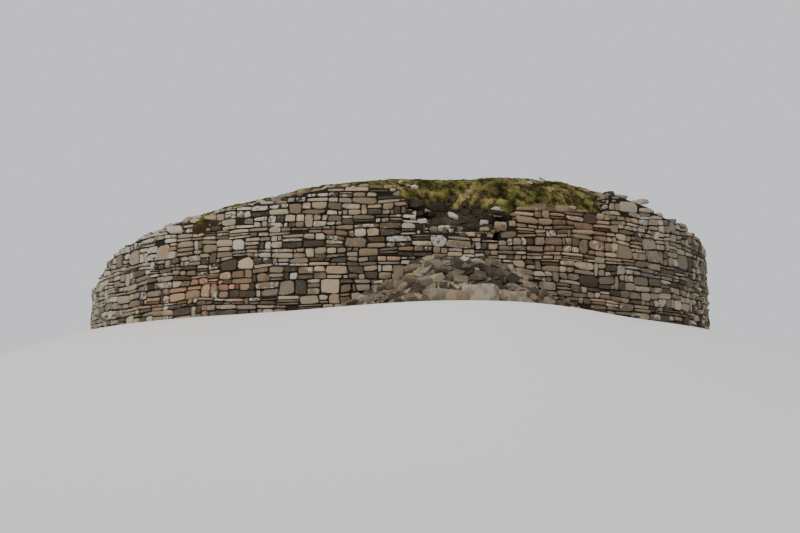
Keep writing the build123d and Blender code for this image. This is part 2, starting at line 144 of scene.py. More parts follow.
def box_grid(cells):
    """The lattice points on the outside of a box of cells, and the quads between them, facing outwards."""
    shape = [n + 1 for n in cells]
    lattice = np.indices(shape).reshape(3, -1).T
    lattice = lattice[((lattice == 0) | (lattice == np.array(cells))).any(axis=1)]
    number = -np.ones(shape, int)
    number[tuple(lattice.T)] = np.arange(len(lattice))
    quads = []
    for axis in range(3):
        first, second = (axis + 1) % 3, (axis + 2) % 3
        i, j = np.meshgrid(np.arange(cells[first]), np.arange(cells[second]), indexing="ij")
        for side in (0, cells[axis]):
            corners = []
            for di, dj in ((0, 0), (1, 0), (1, 1), (0, 1)):
                place = [None] * 3
                place[axis], place[first], place[second] = np.full(i.shape, side), i + di, j + dj
                corners.append(number[tuple(place)].ravel())
            quads.append(np.stack(corners if side else corners[::-1], axis=1))
    return lattice, np.concatenate(quads)


def loose_shape():
    """A loose stone, in shares of its half sizes: the 26 outer points of a lattice of three by three
    by three, with the edges drawn in to 0.95 and the corners to 0.88."""
    lattice, quads = box_grid((2, 2, 2))
    points = lattice - 1.0
    away = np.abs(points).sum(axis=1).astype(int)
    points *= np.array([0, 1, 0.95, 0.88])[away][:, None]
    return points, quads.tolist()


SHAPES = {"facing": facing_shape(), "loose": loose_shape()}


def build_mesh(name, vertices, loops, sizes, tone=None, crease=None):
    """A smooth mesh object at the origin from whole arrays: points, face corners and face sizes, with
    the edges that turn by more than the crease kept sharp."""
    mesh = bpy.data.meshes.new(name)
    mesh.vertices.add(len(vertices))
    mesh.vertices.foreach_set("co", np.asarray(vertices, np.float32).ravel())
    mesh.loops.add(len(loops))
    mesh.loops.foreach_set("vertex_index", np.asarray(loops, np.int32))
    starts = np.concatenate([[0], np.cumsum(sizes)[:-1]])
    mesh.polygons.add(len(sizes))
    mesh.polygons.foreach_set("loop_start", starts.astype(np.int32))
    mesh.polygons.foreach_set("use_smooth", np.ones(len(sizes), bool))
    mesh.update(calc_edges=True)
    mesh.validate()
    if crease is not None:
        mesh.set_sharp_from_angle(angle=radians(crease))
    if tone is not None:
        layer = mesh.attributes.new("tone", "FLOAT_COLOR", "POINT")
        layer.data.foreach_set("color", np.asarray(tone, np.float32).ravel())
    piece = bpy.data.objects.new(name, mesh)
    bpy.context.scene.collection.objects.link(piece)
    return piece


def grid_quads(rows, columns, rows_close=False, columns_close=False):
    """The quads of a grid of points numbered row by row, whose rows or columns may run on to the first."""
    i, j = np.meshgrid(np.arange(rows - (not rows_close)), np.arange(columns - (not columns_close)),
                       indexing="ij")
    below, beside = (i + 1) % rows, (j + 1) % columns
    quads = [i * columns + j, below * columns + j, below * columns + beside, i * columns + beside]
    return np.stack(quads, axis=-1).reshape(-1, 4)


def stones_piece(name, batches, material):
    """One piece from batches of stones, each (shape, points of every stone, tone of every stone)."""
    vertices, loops, sizes, tones, offset = [], [], [], [], 0
    for shape, points, tone in batches:
        count, per_stone = points.shape[:2]
        faces = SHAPES[shape][1]
        face_loops = np.array([corner for face in faces for corner in face])
        shift = offset + np.arange(count)[:, None] * per_stone
        vertices.append(points.reshape(-1, 3))
        loops.append((face_loops[None] + shift).ravel())
        sizes.append(np.tile([len(face) for face in faces], count))
        tones.append(np.repeat(tone, per_stone, axis=0))
        offset += count * per_stone
    piece = build_mesh(name, np.concatenate(vertices), np.concatenate(loops), np.concatenate(sizes),
                       np.concatenate(tones), 32)
    piece.data.materials.append(material)
    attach(piece, "root")


# Coursed drystone

# How a cell of a course is split into stones: shares (left, right, low, high), and how often.
SPLITS = [
    ([(0, 1, 0, 1)], 0.1),
    ([(0, 1, 0, 0.5), (0, 1, 0.5, 1)], 0.24),
    ([(0, 1, 0, 0.36), (0, 1, 0.36, 0.66), (0, 1, 0.66, 1)], 0.12),
    ([(0, 0.42, 0, 1), (0.42, 1, 0, 0.55), (0.42, 1, 0.55, 1)], 0.1),
    ([(0, 1, 0, 0.45), (0, 0.52, 0.45, 1), (0.52, 1, 0.45, 1)], 0.22),
    ([(0, 0.62, 0, 0.5), (0.62, 1, 0, 0.5), (0, 1, 0.5, 1)], 0.22),
]

# The least and the most of a course's height, a cell's length and a stone's stand-out
COURSE = (0.24, 0.37)
CELL = (0.3, 0.72)
STAND_OUT = (0.03, 0.085)
HAIR = 0.001  # a wall this much lower than its course has that course alone

# The least length of a cell at the end of a wall, and the most that a cell's ends shift and its lines bend
END_CELL = 0.12
END_SHIFT = 0.045
MOST_BEND = 0.17


def split_cells(cells, share, bend, flip):
    """One stone from each cell: the corners of its share, mirrored where flipped, moved by the bend of the
    dividing lines, 4 b t (1 - t), and placed bilinearly between the corners of the cell."""
    left, right, low, high = share
    corners = []
    for x, y in ((left, low), (right, low), (right, high), (left, high)):
        x = np.where(flip[:, 0], 1 - x, x)
        y = np.where(flip[:, 1], 1 - y, y)
        x = (x + bend[:, 0] * 4 * x * (1 - x))[:, None]
        y = (y + bend[:, 1] * 4 * y * (1 - y))[:, None]
        corners.append((1 - x) * (1 - y) * cells[:, 0] + x * (1 - y) * cells[:, 1]
                       + x * y * cells[:, 2] + (1 - x) * y * cells[:, 3])
    stones = np.stack(corners, axis=1)
    turned = flip[:, 0] != flip[:, 1]
    stones[turned] = stones[turned][:, [1, 0, 3, 2]]
    return np.where(flip[:, 1][:, None, None], stones[:, [2, 3, 0, 1]], stones)


def masonry(length, height, course, cell, rng, base):
    """The corners of every stone in a stretch of wall, as (stone, corner, (along, up)): wavy courses
    of random height, cut into cells of random length, each split in one of six ways."""
    seed = int(rng.integers(1 << 20))
    lines = [base]
    while lines[-1] < base + height:
        lines.append(lines[-1] + rng.uniform(*course))

    def line_height(number, along):
        """A course line's height: its level plus two waves of smooth noise, but for the first line."""
        points = np.stack([along, np.full_like(along, number * 7.3), np.zeros_like(along)], axis=-1)
        wave = 0.34 * course[0] if number else 0.0
        ripple = 0.5 * wave * noise(points, 0.45, seed + 1)
        return lines[number] + wave * noise(points, 1.7, seed) + ripple

    found = []
    for number in range(len(lines) - 1):
        steps = rng.uniform(*cell, size=int(length / cell[0]) + 2)
        ends = np.cumsum(steps) - rng.uniform(0, cell[1])
        ends = ends[(ends > END_CELL) & (ends < length - END_CELL)]
        ends = np.concatenate([[0.0], ends, [length]])
        moves = (ends > 0) & (ends < length)
        low_u, high_u = (ends + np.where(moves, rng.uniform(-END_SHIFT, END_SHIFT, len(ends)), 0)
                         for _ in range(2))
        low = np.stack([low_u, line_height(number, low_u)], axis=-1)
        high = np.stack([high_u, line_height(number + 1, high_u)], axis=-1)
        cells = np.stack([low[:-1], low[1:], high[1:], high[:-1]], axis=1)
        kinds = rng.choice(len(SPLITS), size=len(cells), p=[chance for _, chance in SPLITS])
        bend = rng.uniform(-MOST_BEND, MOST_BEND, size=(len(cells), 2))
        flip = rng.random((len(cells), 2)) < 0.5
        for kind, (shares, _) in enumerate(SPLITS):
            chosen = kinds == kind
            found += [split_cells(cells[chosen], share, bend[chosen], flip[chosen]) for share in shares]
    return np.concatenate(found)


# The wall faces: each place function turns a length u, a height v and a stand-out d into points

def round_place(radius, facing, first, batter):
    """A round face, with its lengths counted from further along it: bearing facing (u + first) / radius,
    height v, and radius - batter v + facing d."""
    return lambda u, v, d: at(radius - batter * v + facing * d, facing * (u + first) / radius, v)


def flat_place(origin, along, outward):
    """A flat upright face from an origin: origin + along u + outward d, at height v."""
    def place(u, v, d):
        u, v, d = np.broadcast_arrays(u, v, d)
        x = origin[0] + along[0] * u + outward[0] * d
        y = origin[1] + along[1] * u + outward[1] * d
        return np.stack([x, y, v], axis=-1)
    return place


def oval_place(share):
    """The guard cell's oval wall, facing in, with its length u as an angle:
    x = cx + (a s - d) cos t, y = cy + (b s - d) sin t, t = -u."""
    def place(u, v, d):
        x = CELL_CENTRE[0] + (CELL_HALF[0] * share - d) * np.cos(-u)
        y = CELL_CENTRE[1] + (CELL_HALF[1] * share - d) * np.sin(-u)
        return np.stack(np.broadcast_arrays(x, y, v), axis=-1)
    return place


def node_mesh(name):
    """A CAD node's points, and the corners of its triangles."""
    mesh = nodes[name].data
    mesh.calc_loop_triangles()
    points = np.zeros(len(mesh.vertices) * 3, np.float32)
    mesh.vertices.foreach_get("co", points)
    corners = np.zeros(len(mesh.loop_triangles) * 3, np.int32)
    mesh.loop_triangles.foreach_get("vertices", corners)
    return points.reshape(-1, 3).astype(float), corners.reshape(-1, 3)


def search_tree(names):
    """A ray-casting tree over some CAD nodes, and the node that each of its faces belongs to."""
    points, faces, owners, offset = [], [], [], 0
    for name in names:
        place, corners = node_mesh(name)
        points.append(place)
        faces.append(corners + offset)
        owners += [name] * len(corners)
        offset += len(place)
    tree = BVHTree.FromPolygons(np.concatenate(points).tolist(), np.concatenate(faces).tolist())
    return tree, owners


wall_search = search_tree(sorted(n for n in nodes if not n.startswith(("turf", "tumble", "fallen"))))
head_search = search_tree(sorted(nodes))
rest_search = search_tree(sorted(n for n in nodes if not n.startswith("turf")))

# The CAD nodes that are slabs, which get rough slabs in their place, and all the nodes on which no stone
# of the wallhead lies.
SLAB_NODES = ["door_checks", "door_sill", "gallery_doorway_lintels", "gallery_slabs",
              "guard_cell_capstone", "guard_cell_lintel", "passage_lintels"]
NOT_WALLHEAD = [*SLAB_NODES, "tumble_heap", "fallen_blocks"]

PROBE_REACH = 0.25
PROBE_SLACK = 0.05


def carriers(corners, place):
    """The nodes behind each stone, at its middle and 0.7 of the way to its four corners, and whether there
    is one: a ray starts clear of the face by the probe's reach, and has to meet a node at that distance,
    give or take the slack."""
    middle = corners.mean(axis=1)[:, None]
    probes = np.concatenate([middle, middle + 0.7 * (corners - middle)], axis=1)
    clear, surface = (place(probes[..., 0], probes[..., 1], np.full(probes.shape[:2], out)).reshape(-1, 3)
                      for out in (PROBE_REACH, 0.0))
    tree, owners = wall_search
    names = []
    for point, direction in zip(clear.tolist(), ((surface - clear) / PROBE_REACH).tolist()):
        hit, _, face, distance = tree.ray_cast(Vector(point), Vector(direction), PROBE_REACH + PROBE_SLACK)
        names.append(owners[face] if hit and distance > PROBE_REACH - PROBE_SLACK else None)
    held = np.array([name is not None for name in names], bool)
    return np.array(names, object).reshape(-1, 5), held.reshape(-1, 5)


def knock_off(points, ways, reaches):
    """Stones flattened where they reach too far: a point p goes back along a unit way w by what w.p has
    over the reach."""
    for way, reach in zip(ways, reaches):
        past = np.maximum(np.einsum("npc,nc->np", points, way) - reach[:, None], 0)
        points = points - past[..., None] * way[:, None]
    return points


def lay_stones(corners, place, proud, rng, gap=0.028, depth=0.12):
    """Facing stones from their corners: bilinear between the corners less the joint, with two corners
    knocked off, the shape's depth times each stone's own stand-out, a tilt, and shifts at every point."""
    shape = SHAPES["facing"][0]
    count = len(corners)
    middle = corners.mean(axis=1, keepdims=True)
    spread = corners - middle
    size = np.abs(spread).max(axis=1, keepdims=True)
    joint = 0.5 * gap * rng.uniform(0.6, 1.8, (count, 1, 1))
    spread *= np.clip(1 - joint / np.maximum(size, 0.02), 0.5, 1)
    quad = middle + spread
    turns = rng.integers(0, 4, (2, count)) * pi / 2 + pi / 4 + rng.normal(0, 0.3, (2, count))
    ways = np.stack([np.cos(turns), np.sin(turns)], axis=-1)
    spans = np.repeat(shape[None, :, :2], count, axis=0)
    spans = knock_off(spans, ways, rng.uniform(0.9, 1.35, (2, count)))
    a, b = spans[..., 0], spans[..., 1]
    weights = np.stack([(1 - a) * (1 - b), (1 + a) * (1 - b), (1 + a) * (1 + b), (1 - a) * (1 + b)]) / 4
    flat = np.einsum("knp,nkc->npc", weights, quad)
    shift = rng.normal(0, 1, (count, len(shape), 3)) * np.array([0.045, 0.05, 0.06])
    shift[:, 28:] = 0
    flat = flat + shift[:, :, :2] * size
    stand = rng.uniform(*proud, (count, 1)) * np.where(rng.random((count, 1)) < 0.07, 0.35, 1.0)
    tilt = rng.normal(0, 0.22, (count, 2))
    d = shape[:, 2]
    out = stand * (d + np.where(d > 0.5, tilt[:, :1] * a + tilt[:, 1:] * b + 2.2 * shift[:, :, 2], 0))
    out = np.where(d > 0, out, depth * d)
    return place(flat[..., 0], flat[..., 1], out)


# A stone's tone is its hue, lightness, lichen and damp; in the breach, lightness, lichen and damp also carry
# painted shade.
# Each drifts over the walls: its middle, the drift and the size and seed of its noise, and the spread from
# stone to stone.
TONE_DRIFTS = [
    (0.42, 0.16, 1.9, 11, 0.11),
    (0.46, 0.2, 1.3, 12, 0.32),
    (0.43, 0.3, 1.1, 13, 0.22),
    (0.38, 0.28, 2.3, 14, 0.2),
]

# The outer face's patches: (bearing in degrees, height, their half widths), and what each adds to the tone.
OUTER_PATCHES = [
    ((169, 2.6, 13, 0.7), (-0.05, 0.14, 0.42, -0.1)),
    ((138, 1.2, 16, 1.6), (-0.2, 0.36, 0.18, -0.15)),
    ((183, 0.95, 9, 0.28), (0.5, 0.12, -0.1, 0.0)),
    ((168, 0.6, 7, 0.3), (0.3, 0.0, 0.0, 0.0)),
    ((250, 2.5, 17, 0.9), (0.3, 0.22, -0.05, -0.1)),
    ((263, 3.1, 10, 0.8), (-0.05, 0.36, 0.2, -0.15)),
    ((260, 3.27, 2, 0.2), (-0.1, 0.3, 0.1, -0.3)),
    ((203, 2.2, 13, 1.2), (0.04, 0.09, 0.0, -0.06)),
]

# The pale stone beside the breach, the radii past which a stone is in the outer face or has fallen outside
# the wall, and the middle, reach and foot of the breach
PALE_STONE = at(9.2, radians(217.4), 2.62)
OUTER_ZONE = 8.6
FALLEN_ZONE = 9.45
BREACH_ZONE = at(8.6, BREACH_BEARING, 0.0)[:2]
BREACH_REACH = 1.25
BREACH_FOOT = 2.35


def weathering(middles, rng):
    """Each stone's tone, from 0 to 1, with the outer face's own patches added as bell curves of bearing
    and height. Most stones in the breach get painted shade: darker, with less lichen and more damp. The rest
    are pale, one stone beside it is nearly white, and the fallen ones outside the wall are duller."""
    count = len(middles)
    tone = np.stack([middle + drift * noise(middles, size, seed) + rng.normal(0, spread, count)
                     for middle, drift, size, seed, spread in TONE_DRIFTS], axis=1)
    radius, degrees = polar(middles)
    tone[radius > FALLEN_ZONE] += np.array([0.03, -0.2, -0.16, 0.2])
    for (middle, height, half_width, half_height), change in OUTER_PATCHES:
        across, up = (degrees - middle) / half_width, (middles[:, 2] - height) / half_height
        share = np.exp(-(across**2) - up**2)
        tone += np.where(radius > OUTER_ZONE, share, 0)[:, None] * np.array(change)
    from_breach = np.linalg.norm(middles[:, :2] - BREACH_ZONE, axis=1)
    breach = (from_breach < BREACH_REACH) & (middles[:, 2] > BREACH_FOOT)
    # painted shade: most stones in the breach are made darker, with less lichen and more damp; the rest are
    # made pale
    shaded = breach & (rng.random(count) < 0.8)
    tone[shaded] += np.array([0.05, -0.8, -0.6, 0.8])
    tone[breach & ~shaded] += np.array([-0.1, 0.5, 0.45, -0.3])
    tone[np.linalg.norm(middles - PALE_STONE, axis=1) < 0.2] = (0.3, 1.0, 1.0, 0.0)
    return np.clip(tone, 0, 1)


batches = {}
VOIDS = 0.008  # the share of facing stones that have dropped out


def add_stones(names, shape, points, rng, paler=0.0):
    """Files a set of stones under the nodes that carry them, paler and with more lichen where asked, and
    with nothing below the ground."""
    names = np.array(names)
    points[..., 2] = np.maximum(points[..., 2], 0.0)
    tone = weathering(points.mean(axis=1), rng)
    tone[:, 1:3] = np.clip(tone[:, 1:3] + np.broadcast_to(paler, len(names))[:, None], 0, 1)
    for name in np.unique(names):
        chosen = names == name
        batches.setdefault(str(name), []).append((shape, points[chosen], tone[chosen]))


def face_wall(place, length, height, rng, course=COURSE, cell=CELL, proud=STAND_OUT, base=0.0, block=None):
    """Faces a stretch of wall with stones, where the CAD face is there to carry them. A large block
    (left, right, low, high) takes the place of the stones whose middles lie inside it. A stone that
    reaches past the end or the top of its face is shortened by a fifth up to four times."""
    corners = masonry(length, height, course, cell, rng, base)
    if block:
        left, right, low, high = block
        u, v = corners.mean(axis=1).T
        covered = (u > left - 0.05) & (u < right + 0.05) & (v > low - 0.04) & (v < high + 0.04)
        block = [(left, low), (right, low + 0.03), (right - 0.03, high), (left + 0.02, high - 0.02)]
        corners = np.concatenate([corners[~covered], [block]])
    for _ in range(4):
        _, held = carriers(corners, place)
        held = held[:, 1:]
        topless = held[:, :2].all(axis=1) & ~held[:, 2:].all(axis=1)
        cut = 0.2 * (corners[:, 2:] - corners[:, [1, 0]])
        corners[:, 2:] -= np.where(topless[:, None, None], cut, 0)
        for near, far in (([0, 3], [1, 2]), ([1, 2], [0, 3])):
            endless = held[:, near].all(axis=1) & ~held[:, far].any(axis=1)
            cut = 0.2 * (corners[:, far] - corners[:, near])
            corners[:, far] -= np.where(endless[:, None, None], cut, 0)
    names, held = carriers(corners, place)
    tall = (corners[:, 2:, 1].mean(axis=1) - corners[:, :2, 1].mean(axis=1)) > 0.05
    slabs = np.isin(names, SLAB_NODES).any(axis=1)
    kept = (held.sum(axis=1) >= 4) & tall & ~slabs & (rng.random(len(tall)) > VOIDS)
    if not kept.any():
        return
    owners = [next(name for name in row if name is not None) for row in names[kept]]
    add_stones(owners, "facing", lay_stones(corners[kept], place, proud, rng), rng)


def round_wall(radius, facing, start, end, height, rng, batter=0.0, **finish):
    """Faces a round wall between two bearings in degrees."""
    first = facing * radians(start if facing > 0 else end) * radius
    place = round_place(radius, facing, first, batter)
    face_wall(place, radians(end - start) * radius, height, rng, **finish)


def radial_wall(degrees, facing, inner, outer, height, rng, base=0.0):
    """Faces an upright wall on a bearing in degrees, between two radii. Facing the way that bearings grow
    it runs in from the outer radius, r = outer - u, and facing back it runs out, r = inner + u."""
    out, across = level_axes(radians(degrees))
    place = flat_place(out * (outer if facing > 0 else inner), -facing * out, facing * across)
    face_wall(place, outer - inner, height, rng, base=base)


# Loose stones

DROP_HEIGHT = 8  # well above the whole ruin

# How many stones poke through the turf at its two ends, over how many degrees that fades, and how many
# degrees further in those that poke through are small
END_POKE = 0.6
END_FADE = 2.2
SMALL_PAST = 4.5

# The bounds of a loose stone's half length, half width and half thickness: in shares of its size on the
# wallhead, in the broken top course and on the heap, and in metres at the bite
HEAD_STONE = ((0.55, 1.15), (0.4, 0.8), (0.2, 0.42))
COURSE_STONE = ((0.5, 1.1), (0.35, 0.55), (0.2, 0.42))
HEAP_STONE = ((0.6, 1.25), (0.45, 0.9), (0.28, 0.6))
BITE_STONE = ((0.11, 0.26), (0.1, 0.2), (0.05, 0.12))

# The square over the heap on which its stones are strewn: its middle, and half its side
HEAP_MIDDLE = at(9.1, BREACH_BEARING, 0.0)[:2]
HEAP_HALF = 3.0


def down_hits(search, points):
    """Where points dropped from above land on a tree: height, surface normal and node, or None."""
    tree, owners = search
    found = []
    for x, y in points.tolist():
        hit, normal, face, _ = tree.ray_cast(Vector((x, y, DROP_HEIGHT)), Vector((0, 0, -1)))
        found.append((hit.z, tuple(normal), owners[face]) if hit else None)
    return found


def high_and_level(hit):
    """Whether a point landed more than a metre up, on a surface that isn't steep."""
    return hit is not None and hit[0] > 1.0 and hit[1][2] > 0.5


def half_sizes(rng, count, *bounds):
    """Half sizes of stones, each drawn evenly between its two bounds: length, width and thickness."""
    return np.stack([rng.uniform(low, high, count) for low, high in bounds], axis=1)


def loose_stones(owners, centres, halves, yaw, normals, rng, tumble=0.14, paler=0.0):
    """Adds loose stones: their shape with four sides knocked off at random, roughened, times half sizes,
    and turned by a yaw about the surface's normal, with a small random tumble."""
    shape = SHAPES["loose"][0]
    count = len(centres)
    ways = rng.normal(0, 1, (4, count, 3)) * np.array([1, 1, 0.7])
    ways /= np.linalg.norm(ways, axis=-1, keepdims=True)
    body = knock_off(np.repeat(shape[None], count, axis=0), ways, rng.uniform(0.72, 1.15, (4, count)))
    body = (body + rng.normal(0, 0.045, body.shape)) * halves[:, None]
    up = normals + rng.normal(0, tumble, (count, 3))
    up /= np.linalg.norm(up, axis=1, keepdims=True)
    ahead = np.stack([np.cos(yaw), np.sin(yaw), np.zeros(count)], axis=1)
    ahead -= up * (ahead * up).sum(axis=1, keepdims=True)
    ahead /= np.linalg.norm(ahead, axis=1, keepdims=True)
    side = np.cross(up, ahead)
    axes = np.stack([ahead, side, up], axis=1)
    stones = centres[:, None] + np.einsum("npk,nkc->npc", body, axes)
    add_stones(owners, "loose", stones, rng, paler)


UPRIGHT = np.array([0.0, 0.0, 1.0])


def ring_points(inner, outer, start, end, spacing, rng):
    """A jittered grid over part of a ring: rows of radius, each with its own steps of bearing."""
    rows = []
    for radius in np.arange(inner, outer, spacing):
        steps = np.arange(start, end, spacing / radius)
        bearing = steps + rng.uniform(-0.45, 0.45, len(steps)) * spacing / radius
        reach = radius + rng.uniform(-0.4, 0.4, len(steps)) * spacing
        rows.append(np.stack([np.clip(reach, inner, outer), bearing], axis=1))
    return np.concatenate(rows)


def wallhead_stones(inner, outer, spacing, size, start, end, poke, rng):
    """Loose stones bedded in the broken wallhead between two radii and two bearings in degrees, clear of
    the turf but for the few that poke through it, which are many at its two ends. Their sizes follow a
    log-normal law."""
    reach, bearing = ring_points(inner, outer, radians(start), radians(end), spacing, rng).T
    flat = at(reach, bearing, 0.0)[:, :2]
    hits = down_hits(head_search, flat)
    past_end = np.min([np.abs(np.degrees(bearing) % 360 - turf_end) for turf_end in TURF_ENDS], axis=0)
    lone = rng.random(len(hits)) < poke + END_POKE * np.exp(-((past_end / END_FADE) ** 2))
    kept = [k for k, hit in enumerate(hits) if high_and_level(hit) and hit[2] not in NOT_WALLHEAD
            and (lone[k] or not hit[2].startswith("turf"))]
    if not kept:
        return
    count = len(kept)
    heights, normals, owners = zip(*(hits[k] for k in kept))
    poking = np.array([owner.startswith("turf") for owner in owners])
    halves = half_sizes(rng, count, *HEAD_STONE) * size
    halves *= np.exp(np.minimum(rng.normal(0, 0.22, (count, 1)), 0.25))
    small = poking & (past_end[kept] > SMALL_PAST)
    halves *= np.where(small[:, None], np.array([0.55, 0.6, 0.8]), 1.0)
    lift = np.where(poking, rng.uniform(-0.5, 0.25, count), rng.uniform(-0.3, 0.4, count))
    centres = np.column_stack([flat[kept], np.array(heights) + halves[:, 2] * lift])
    yaw = bearing[kept] + rng.normal(0, 0.5, count) + np.where(rng.random(count) < 0.3, pi / 2, 0)
    loose_stones(owners, centres, halves, yaw, np.array(normals), rng, paler=0.2 * poking)


def edge_stones(start, end, radius, spacing, size, share, level, rng):
    """A broken top course: flat stones set end to end along the edge of the wallhead between two bearings
    in degrees, each there with the chance of the share, at a level over the wall."""
    bearing = np.arange(radians(start), radians(end), spacing / radius)
    bearing = bearing + rng.uniform(-0.2, 0.2, len(bearing)) * spacing / radius
    flat = at(radius + rng.uniform(-0.05, 0.05, len(bearing)), bearing, 0.0)[:, :2]
    hits = down_hits(rest_search, flat)
    kept = [k for k, hit in enumerate(hits)
            if high_and_level(hit) and rng.random() < share and hit[2] not in NOT_WALLHEAD]
    count = len(kept)
    halves = half_sizes(rng, count, *COURSE_STONE) * size
    heights = np.array([hits[k][0] for k in kept]) + level + halves[:, 2] * rng.uniform(0.1, 0.8, count)
    centres = np.column_stack([flat[kept], heights])
    yaw = bearing[kept] + rng.normal(0, 0.2, count)
    loose_stones([hits[k][2] for k in kept], centres, halves, yaw, UPRIGHT, rng, 0.09)


def heap_stones(spacing, size, rng):
    """Stones strewn over the heap on a jittered grid, lying on its slope at every angle."""
    line = np.arange(-HEAP_HALF, HEAP_HALF, spacing)
    x, y = np.meshgrid(line, line)
    flat = np.stack([x.ravel(), y.ravel()], axis=1)
    flat = flat + rng.uniform(-0.5, 0.5, flat.shape) * spacing + HEAP_MIDDLE
    hits = down_hits(head_search, flat)
    kept = [k for k, hit in enumerate(hits) if hit and hit[2] == "tumble_heap" and hit[0] > 0.02]
    count = len(kept)
    halves = half_sizes(rng, count, *HEAP_STONE) * size
    heights, normals, owners = zip(*(hits[k] for k in kept))
    normals = np.array(normals)
    lift = halves[:, 2] * rng.uniform(0.0, 0.7, count)
    centres = np.column_stack([flat[kept], np.array(heights)]) + normals * lift[:, None]
    loose_stones(owners, centres, halves, rng.uniform(0, 2 * pi, count), normals, rng, 0.32)


# Single slabs and blocks

# The share and size of each ripple in the faces of a slab
SLAB_RIPPLES = ((1.0, 0.45), (0.5, 0.16), (0.3, 0.06))


def rounded_box(half, cells, radius):
    """A box as a closed grid with rounded edges: each point of the box is drawn in to the box less the
    radius, and set back out by the radius along the way that it came. The grid is finer near the edges,
    by the sine of even steps."""
    lattice, quads = box_grid(cells)
    reach = 0.98 * pi / 2
    lines = [h * np.sin(np.linspace(-reach, reach, n + 1)) / sin(reach) for h, n in zip(half, cells)]
    points = np.stack([lines[k][lattice[:, k]] for k in range(3)], axis=1)
    core = np.clip(points, -(half - radius), half - radius)
    away = points - core
    points = core + radius * away / np.maximum(np.linalg.norm(away, axis=1, keepdims=True), 1e-9)
    return points, quads


def islands(name):
    """The separate solids of a CAD node: the points of each, found by joining the points of each face."""
    place, corners = node_mesh(name)
    _, group = np.unique(np.round(place, 4), axis=0, return_inverse=True)
    group = group.ravel()
    label = np.arange(group.max() + 1)
    tied = group[corners]
    while True:
        lowest = label[tied].min(axis=1)
        before = label.copy()
        for k in range(3):
            np.minimum.at(label, tied[:, k], lowest)
        if (label == before).all():
            break
    return [place[label[group] == value] for value in np.unique(label[group])]


def upright_box(points):
    """The box with the least floor that holds some points: its centre, half sizes and turn."""
    best = None
    for turn in np.radians(np.arange(0, 90, 0.5)):
        x = points[:, 0] * cos(turn) + points[:, 1] * sin(turn)
        y = -points[:, 0] * sin(turn) + points[:, 1] * cos(turn)
        area = np.ptp(x) * np.ptp(y)
        if best is None or area < best[0] - 1e-7:
            best = (area, turn, x.min(), x.max(), y.min(), y.max())
    _, turn, x0, x1, y0, y1 = best
    low, high = points[:, 2].min(), points[:, 2].max()
    cx, cy = (x0 + x1) / 2, (y0 + y1) / 2
    centre = np.array([cx * cos(turn) - cy * sin(turn), cx * sin(turn) + cy * cos(turn), (low + high) / 2])
    return centre, np.array([x1 - x0, y1 - y0, high - low]) / 2, turn


def rough_slabs(name, material, seed, edge=0.035, relief=0.02):
    """A rough slab for each solid of a CAD node: a rounded box of the same size, its faces moved in and
    out by three sizes of smooth noise and its sides split in thin layers."""
    rng = np.random.default_rng(seed)
    vertices, loops, tones, offset = [], [], [], 0
    for points in islands(name):
        centre, half, turn = upright_box(points)
        cells = tuple(int(n) for n in np.clip(half / 0.035, 4, 16))
        shape, quads = rounded_box(half, cells, min(edge, 0.45 * half.min()))
        turned = np.stack([shape[:, 0] * cos(turn) - shape[:, 1] * sin(turn),
                           shape[:, 0] * sin(turn) + shape[:, 1] * cos(turn), shape[:, 2]], axis=1)
        world = centre + turned
        out = turned / np.maximum(np.linalg.norm(turned, axis=1, keepdims=True), 1e-6)
        ripples = sum(share * noise(world, size, seed + k) for k, (share, size) in enumerate(SLAB_RIPPLES))
        layers = 0.25 * noise(world * np.array([0.15, 0.15, 1.0]), 0.035, seed + 3)
        world = world + out * (relief * (ripples + layers) - 0.6 * relief)[:, None]
        world[:, 2] = np.maximum(world[:, 2], 0.0)
        vertices.append(world)
        loops.append((quads + offset).ravel())
        tones.append(np.tile(weathering(world.mean(axis=0, keepdims=True), rng), (len(world), 1)))
        offset += len(world)
    loops = np.concatenate(loops)
    piece = build_mesh(name + "_rough", np.concatenate(vertices), loops, np.full(len(loops) // 4, 4),
                       np.concatenate(tones), 45)
    piece.data.materials.append(material)
    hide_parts(name)
    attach(piece, "root")


# Turf on the wallhead

# Bearing in degrees, and the height of the turf at its outer edge, at its crown and at its inner edge.
TURF_SECTIONS = np.array([
    (151, 2.4, 2.6, 2.42), (165, 2.72, 2.96, 2.64), (179, 3.04, 3.27, 2.85),
    (193, 3.37, 3.52, 2.99), (207, 3.6, 3.76, 3.13), (221, 3.42, 3.93, 3.22),
    (236, 3.09, 4.03, 3.25), (251, 3.13, 4.03, 3.17), (265, 3.4, 3.69, 3.0),
    (281, 3.04, 3.31, 2.79), (297, 2.85, 3.04, 2.71), (313, 2.72, 2.88, 2.64),
    (329, 2.63, 2.76, 2.58), (344, 2.59, 2.71, 2.56),
])
TURF_ENDS = (152, 344)
TURF_CAPS = {"turf_cap_west": (152, 207), "turf_cap_mound": (207, 265), "turf_cap_east": (265, 344)}
FRINGES = ((177, 6), (194, 3.5))  # where the sod hangs over the wall: bearing and half width, in degrees
TURF_OUTER = 8.92
TURF_MIDDLE = 7.4
TURF_INNER = 5.75
TURF_REACH = 9.12  # the furthest that the sod's edge goes, but for the fringes
CROWN_SHARE = 0.45
OUTER_LIP = 0.28
INNER_LIP = 0.17
BITE_RADIUS = 1.4
BITE_CENTRE = TURF_OUTER + BITE_RADIUS / 2
SLUMP = 0.5
SLUMP_WIDTH = 0.9

# The stones in the bite: how far round its circle they go each way, in radians, how many there are in a
# row and how many rows, the rise from row to row, and the share of them that is there
BITE_TURN = 1.25
BITE_COUNT = 14
BITE_ROWS = 6
BITE_RISE = 0.16
BITE_SHARE = 0.55

# The step from one of the sod's profiles to the next, the points in the top of a profile, how far its edge
# lies back underneath inside the bite, and how deep its outer and inner edges go
PROFILE_STEP = 0.036
PROFILE_POINTS = 66
BITE_UNDERCUT = 0.24
OUTER_DEPTH = 0.45
INNER_DEPTH = 0.35


